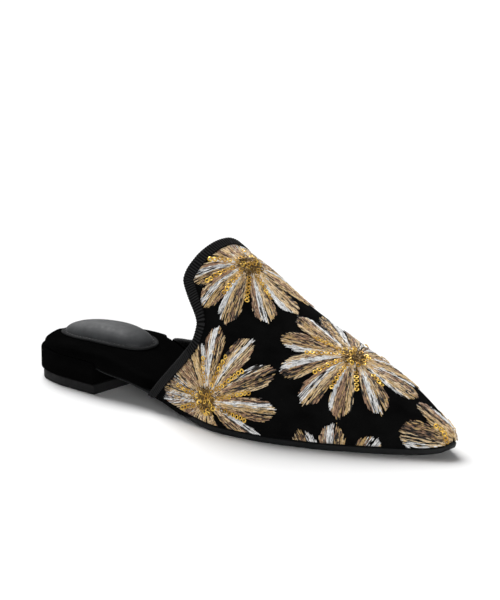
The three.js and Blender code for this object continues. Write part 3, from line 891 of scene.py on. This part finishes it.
# Stitches round the toe's point: how many lanes, where along the shoe they start, how long they are,
# and how far off the point they stop
TOE_LANES = 150
TOE_LANE_ENDS = (0.1, 1.9)
TOE_LANE_JITTER = 0.008
TOE_STARTS = (258.0, 263.8)
TOE_STITCH_LONG = (2.2, 4.5)
TOE_END = 0.12
TOE_BOW = 0.15


def heading_at(x, around, angle):
    """Unit directions on the vamp at places, from angles in degrees."""
    forward, _, out = vamp_frame(x, around)
    ahead = unit(forward)
    up = np.cross(out, ahead)
    turn = np.radians(angle)[..., None]
    return ahead * np.cos(turn) + up * np.sin(turn)


def way_round(flower):
    """Angles turn towards the ridge, so they turn the other way on the big-toe side."""
    around = flower["around"] if "around" in flower else flower["tips"][0][1]
    return 1 if around < 1 else -1


def spokes(flower, angle, length, steps):
    """Straight walks on the vamp from a flower's middle."""
    angle = way_round(flower) * np.asarray(angle, float)
    x = np.full(angle.shape, flower["x"])
    around = np.full(angle.shape, flower["around"])
    return walk(x, around, heading_at(x, around, angle), np.asarray(length, float), steps)


def petal_axes(flower):
    """Lines on the vamp from the flower's middle to each petal's tip, with each one's reach and bands."""
    *tip, angle, reach, bands = zip(*flower.get("tips", flower.get("petals")))
    angle, reach = np.array([angle, reach], float)
    if not tip:
        return spokes(flower, angle, reach * AXIS_SPARE, AXIS_STEPS), reach, bands
    x, around = np.array(tip)
    axes = walk(x, around, heading_at(x, around, angle), reach * AXIS_SPARE, AXIS_STEPS)[..., ::-1]
    axes[0] = np.minimum(axes[0], LENGTH - TOE_EDGE / 2)
    return axes, reach, bands


def on_axes(axes, length, way, line, along, across):
    """Places on the vamp from a line's number, the distance along it and the one across it."""
    step = np.clip(along / length[line], 0, 1) * AXIS_STEPS
    low = np.clip(step.astype(int), 0, AXIS_STEPS - 1)
    part = step - low
    start, end = axes[:, line, low], axes[:, line, low + 1]
    x, around = start * (1 - part) + end * part
    heading = vamp_point(*end) - vamp_point(*start)
    for _ in range(3):
        out = vamp_frame(x, around)[2]
        side = np.cross(out, heading)
        size = np.linalg.norm(side, axis=-1, keepdims=True)
        x, around = moved(x, around, side / np.maximum(size, 1e-6) * (across * way / 3)[..., None])
        x = np.minimum(x, LENGTH - TOE_EDGE / 2)
    return x, around


def room(x, around):
    """How far inside the open velvet a place is: off the ribbon, the sole's edge and the toe."""
    off_ribbon = from_topline(x, around) - ribbon_wide(around)
    off_sole = above_sole(x, climb_up(around)) - SOLE_EDGE
    return np.minimum(np.minimum(off_ribbon, off_sole), LENGTH - TOE_EDGE - x)


def pick_threads(names, shares, chance):
    """Thread numbers from a palette, one for each chance between 0 and 1."""
    numbers = np.array([list(THREADS).index(name) for name in names])
    return numbers[np.searchsorted(np.cumsum(shares)[:-1], chance)]


def plan_petal(reach, bands, shape, rng):
    """Stitches of one petal in lanes: starts along and across, slants, lengths and threads."""
    wide, outline = SHAPES[shape]
    outline_share, fan_share = column(outline, "share"), column(FAN, "share")
    parting = rng.uniform(*PARTING_PLACE)

    def ripe(along):
        return np.clip((along - PETAL_START) / (reach - PETAL_START), 0, 1)

    def lane_at(share, along):
        opened = PARTING_WIDE / 2 * smoothstep(ripe(along), PARTING_START, 1)
        return share * wide / 2 * fan_share(ripe(along)) + np.sign(share - parting) * opened

    found = []
    lanes = round(wide / LANE_STEP)
    lane_chance = rng.random()
    for lane in range(lanes):
        share = 2 * (lane + rng.random()) / lanes - 1
        lane_chance = lane_chance if rng.random() < LANE_KEEP else rng.random()
        band = int(np.clip((share + 1) / 2 * len(bands) + rng.normal(0, BAND_BLUR), 0, len(bands) - 0.01))
        names, shares, change, usual = PALETTES[bands[band]]
        along = np.arange(PETAL_BASE - rng.uniform(0, usual), reach, STITCH_PITCH * usual)
        count = len(along)
        along = np.maximum(along + rng.normal(0, STITCH_STAGGER, count) * usual, PETAL_BASE)
        long = usual * rng.uniform(*STITCH_SPREAD, count)
        across = lane_at(share, along) + rng.normal(0, STITCH_JITTER, count)
        drift = lane_at(share, along + long) + rng.normal(0, STITCH_JITTER, count) - across
        ragged = rng.uniform(*STITCH_RAGGED, count)
        inside = np.ones(count)
        for part in np.linspace(1, 0, 9):
            end = along + part * long
            off = np.abs(across + part * drift) - wide / 2 * outline_share(ripe(end)) - ragged
            inside = np.where((off > 0) | (end > reach + ragged), part - 0.125, inside)
        chance = np.where(rng.random(count) < change, rng.random(count), lane_chance)
        thread = pick_threads(names, shares, chance)
        at_base = rng.random(count) > BASE_SHARE + BASE_FADE * ripe(along)
        thread = np.where(at_base, pick_threads(*BASE_THREADS, rng.random(count)), thread)
        slant, reached = np.arctan2(drift, long), np.hypot(drift, long) * inside
        found.append(np.column_stack([along, across, slant, reached, thread])[reached > STITCH_SHORTEST])
    return np.concatenate(found)


def plan_disc(rng):
    """Short stitches under the sequins in a flower's middle, one to a line."""
    along = rng.uniform(*DISC_STITCH_START, DISC_STITCHES)
    long = rng.uniform(*DISC_STITCH_LONG, DISC_STITCHES)
    thread = pick_threads(*DISC_THREADS, rng.random(DISC_STITCHES))
    slant = rng.normal(0, DISC_STITCH_SLANT, DISC_STITCHES)
    return np.column_stack([along, np.zeros(DISC_STITCHES), slant, long, thread])


def bowed(x, around, lift, bow):
    """Lines of three places on the vamp, lifted off it and bowed in the middle, and their normals."""
    height = lift[:, None] + np.array([0, bow, 0])
    return off_vamp(x, around, height), vamp_frame(x, around)[2]


def sew(name, spine, out, thread):
    """A piece of stitches, each in its thread's material."""
    points, faces, quads = make_stitches(spine, out, STITCH_WIDE, STITCH_TALL)
    index = np.concatenate([np.repeat(thread, quads), np.repeat(thread, 2)])
    return dress(make_piece(name, points, faces, list(THREADS.values()), index), "thread")


def make_embroidery(name, flower, rng):
    axes, reach, bands = petal_axes(flower)
    length = reach * AXIS_SPARE
    shape = flower.get("shape", "oval")
    plans = [plan_petal(reach[number], bands[number], shape, rng) for number in range(len(reach))]
    line = np.repeat(np.arange(len(plans)), [len(plan) for plan in plans])
    if "petals" in flower:
        turn = rng.uniform(0, 360, DISC_STITCHES)
        disc_length = np.full(DISC_STITCHES, DISC_RADIUS + SPOKE_SPARE)
        axes = np.concatenate([axes, spokes(flower, turn, disc_length, AXIS_STEPS)], 1)
        length = np.concatenate([length, disc_length])
        line = np.concatenate([line, len(plans) + np.arange(DISC_STITCHES)])
        plans.append(plan_disc(rng))
    along, across, slant, long, thread = np.concatenate(plans).T
    way = way_round(flower)

    def at(share):
        far = share * long
        return on_axes(axes, length, way, line, along + far * np.cos(slant), across + far * np.sin(slant))

    first, last = np.zeros(len(line)), np.ones(len(line))
    room_first, room_last = room(*at(first)), room(*at(last))
    cut = np.clip(room_first / (room_first - room_last + 1e-9), 0, 1)
    first = np.where((room_first < 0) & (room_last > 0), cut, first)
    last = np.where((room_last < 0) & (room_first > 0), cut, last)
    keep = ((room_first > 0) | (room_last > 0)) & ((last - first) * long > STITCH_SHORTEST)
    dark = np.isin(thread, [list(THREADS).index(dim) for dim in ("umber", "brown")])
    lift = rng.uniform(*STITCH_LIFT, len(line)) + np.where(dark, 0, PALE_LIFT)
    lift += np.where(line < len(reach), 0, DISC_LIFT)
    x, around = np.stack([at(first + (last - first) * share) for share in (0, 0.5, 1)], -1)
    spine, out = bowed(x, around, lift, STITCH_BOW)
    # Near the toe's point the surface folds up, and stitches that tear there are left out
    span = np.linalg.norm(np.diff(spine, axis=1), axis=-1).sum(1)
    keep &= span < TEAR_STRETCH * (last - first) * long + TEAR_SPARE
    keep &= spine[..., 2].min(1) > bed(spine[..., 0].max(1)) - TEAR_DROP
    return sew(name, spine[keep], out[keep], thread[keep])


def make_toe_stitches(name, rng):
    """Stitches round the toe's point, where the petals of both sides run together."""
    lane = np.repeat(np.linspace(*TOE_LANE_ENDS, TOE_LANES), 2)
    count = len(lane)
    around = (lane + rng.normal(0, TOE_LANE_JITTER, count))[:, None] * np.ones(3)
    start = rng.uniform(*TOE_STARTS, count)
    end = np.minimum(start + rng.uniform(*TOE_STITCH_LONG, count), LENGTH - TOE_END)
    x = np.linspace(start, end, 3, axis=1)
    spine, out = bowed(x, around, rng.uniform(*STITCH_LIFT, count), TOE_BOW)
    keep = above_sole(x, climb_up(around)).min(1) > SOLE_EDGE
    thread = pick_threads(*PALETTES["T"][:2], rng.random(count))
    return sew(name, spine[keep], out[keep], thread[keep])


def ring_places(flower, rng):
    """Sequins of a flower: places on the vamp, directions, lifts, leans and foils."""
    found = []
    if "rings" in flower:
        x, around = np.array(flower["rings"]).T
        toward = np.gradient(vamp_point(x, around), axis=0)
        # The first three toe rings are bright, the later ones in painted half shade
        foil = np.arange(len(x)) // 3
        found.append((x, around, toward, np.full(len(x), RING_LIFT), rng.normal(*TOE_LEAN, len(x)), foil))
    for angle, near, far in flower.get("rays", []):
        distance = np.arange(far, near, -RING_PITCH)[::-1] + rng.normal(0, RAY_JITTER)
        path = spokes(flower, [angle], [far + SPOKE_SPARE], AXIS_STEPS)[:, 0]
        step = np.linspace(0, far + SPOKE_SPARE, AXIS_STEPS + 1)
        here_and_ahead = distance[:, None] + np.array([0, 0.5])
        (x, ahead_x), (around, ahead_around) = (np.interp(here_and_ahead, step, line).T for line in path)
        around = around + rng.normal(0, RAY_SWAY, len(distance))
        toward = vamp_point(ahead_x, ahead_around) - vamp_point(x, around)
        # Rings nearer the middle take more painted shade
        nearness = 1 - (distance - near) / (far - near)
        chance = np.clip(rng.random(len(x)) * RAY_CHANCE + RAY_SHADE_INWARD * nearness, 0, 0.99)
        foil = np.searchsorted(np.cumsum(RAY_FOILS), chance)
        lift = RING_LIFT + rng.uniform(*RING_LIFT_SPREAD, len(x))
        found.append((x, around, toward, lift, rng.normal(*RAY_LEAN, len(x)), foil))
    if "petals" in flower:
        number = np.arange(DISC_RINGS)
        far = DISC_RADIUS * np.sqrt((number + 0.5) / DISC_RINGS)
        turn = GOLDEN_ANGLE * number + rng.normal(0, 10, DISC_RINGS)
        path = spokes(flower, turn, far, 6)
        x, around = path[..., -1]
        toward = vamp_point(x, around) - vamp_point(*path[..., -2])
        heap = DISC_HEAP * (1 - (far / DISC_RADIUS) ** 2)
        lift = RING_LIFT + DISC_RING_LIFT + heap + rng.uniform(0, DISC_HEAP, DISC_RINGS)
        foil = np.searchsorted(np.cumsum(DISC_FOILS), rng.uniform(0, 0.99, DISC_RINGS))
        found.append((x, around, toward, lift, rng.normal(*DISC_LEAN, DISC_RINGS), foil))
    return [np.concatenate(values) for values in zip(*found)]


def turned(a, b, degrees):
    """Two square directions, turned from the first to the second by angles."""
    turn = np.radians(degrees)[:, None]
    return a * np.cos(turn) + b * np.sin(turn), b * np.cos(turn) - a * np.sin(turn)


def make_sequins(name, flower, rng):
    """Small foil rings, bright or darkened with painted shade in two tones, each with a rounded section,
    leaning on one another.
    """
    places = ring_places(flower, rng)
    keep = room(places[0], places[1]) > RING_ROOM
    x, around, toward, lift, lean, foil = (values[keep] for values in places)
    count = len(x)
    out = vamp_frame(x, around)[2]
    toward = laid_flat(toward, out)
    u, up = turned(toward, out, lean)
    v, up = turned(np.cross(out, toward), up, rng.normal(0, RING_ROLL, count))
    middle_point = off_vamp(x, around, lift)
    # Radius as a share of the ring's, and height
    section = np.array([(0.97, -0.06), (1, 0.04), (0.78, 0.16), (0.52, 0.08), (0.48, 0), (0.7, -0.04)])
    turn = np.linspace(0, 2 * math.pi, 18, endpoint=False)
    size = RING_RADIUS * rng.uniform(*RING_SIZES, count)
    radius = section[:, 0] * size[:, None]
    flat = (u[:, None] * np.cos(turn)[:, None] + v[:, None] * np.sin(turn)[:, None])[:, :, None]
    points = middle_point[:, None, None] + flat * radius[:, None, :, None] + (
        up[:, None, None] * section[:, 1][:, None])
    loops, corners = len(turn), len(section)
    one = grid_faces(loops + 1, corners, wrap=True) % (loops * corners)
    first = (np.arange(count) * loops * corners)[:, None, None]
    faces = [(one + first).reshape(-1, 4)]
    piece = make_piece(name, points.reshape(-1, 3), faces, FOILS, np.repeat(foil, len(one)))
    return dress(piece, "sequin")


for number, flower in enumerate(FLOWERS, 1):
    make_embroidery(f"flower_{number}_stitches", flower, np.random.default_rng(100 + number))
    if "rays" in flower or "rings" in flower:
        make_sequins(f"flower_{number}_sequins", flower, np.random.default_rng(200 + number))
make_toe_stitches("toe_stitches", np.random.default_rng(300))


# Floor, light and camera

def make_floor():
    mesh = bpy.data.meshes.new("floor")
    size = 6.0
    corners = [(-size, -size, 0), (size, -size, 0), (size, size, 0), (-size, size, 0)]
    mesh.from_pydata(corners, [], [(0, 1, 2, 3)])
    floor = place_object("floor", mesh)
    pale = grey(0.92)
    mesh.materials.append(make_material("studio_floor", pale, pale, 0.9, Specular_IOR_Level=0.0))


CAMERA_AZIMUTH = math.radians(40.69)
CAMERA_ELEVATION = math.radians(15.49)
CAMERA_DISTANCE = 1301.0
CAMERA_LENS = 150.2
TARGET = np.array([132.0, 0.0, 25.0])
AIM_RIGHT = 5.38
AIM_UP = 33.1
# Level directions from the camera
FAR = np.array([-math.sin(CAMERA_AZIMUTH), math.cos(CAMERA_AZIMUTH), 0])
RIGHT = np.array([math.cos(CAMERA_AZIMUTH), math.sin(CAMERA_AZIMUTH), 0])


def add_camera():
    """The photograph's view, over the little-toe side."""
    forward = FAR * math.cos(CAMERA_ELEVATION) - np.array([0, 0, math.sin(CAMERA_ELEVATION)])
    up = np.cross(RIGHT, forward)
    place = TARGET - forward * CAMERA_DISTANCE
    aim = TARGET + RIGHT * AIM_RIGHT + up * AIM_UP
    camera = bpy.data.cameras.new("photo_camera")
    camera.lens = CAMERA_LENS
    body = place_object("photo_camera", camera)
    body.location = (place + SHIFT) * MM
    body.rotation_euler = Vector(aim - place).to_track_quat("-Z", "Y").to_euler()
    bpy.context.scene.camera = body


def add_soft_light(name, toward_far, toward_right, height, spread, strength):
    """A broad light from a direction: away from the camera, to its right, and up."""
    source = FAR * toward_far + RIGHT * toward_right + np.array([0, 0, height])
    light = bpy.data.lights.new(name, "SUN")
    light.angle = math.radians(spread)
    light.energy = strength
    lamp = place_object(name, light)
    lamp.location = (0, 0, 2)
    lamp.rotation_euler = Vector(-source).to_track_quat("-Z", "Y").to_euler()


def add_studio_walls(near, far):
    """Pale surroundings, bright behind the shoe and dim in front of it."""
    world = bpy.data.worlds.new("studio")
    world.use_nodes = True
    nodes, links = world.node_tree.nodes, world.node_tree.links
    background = set_inputs(nodes["Background"], Color=(1, 1, 1, 1))
    place = nodes.new("ShaderNodeTexCoord")
    facing = nodes.new("ShaderNodeVectorMath")
    facing.operation = "DOT_PRODUCT"
    facing.inputs[1].default_value = FAR
    blend = set_inputs(nodes.new("ShaderNodeMapRange"), From_Min=-0.6, From_Max=0.6, To_Min=near, To_Max=far)
    blend.interpolation_type = "SMOOTHSTEP"
    links.new(place.outputs["Generated"], facing.inputs[0])
    links.new(facing.outputs["Value"], blend.inputs["Value"])
    links.new(blend.outputs["Result"], background.inputs["Strength"])
    bpy.context.scene.world = world


make_floor()
add_camera()
add_soft_light("overhead_softbox", toward_far=0.6, toward_right=-0.3, height=0.8, spread=40, strength=3.8)
add_soft_light("front_panel", toward_far=-0.97, toward_right=0.25, height=0.08, spread=30, strength=2.9)
add_studio_walls(near=0.02, far=0.35)
bpy.context.scene.view_settings.view_transform = "Standard"
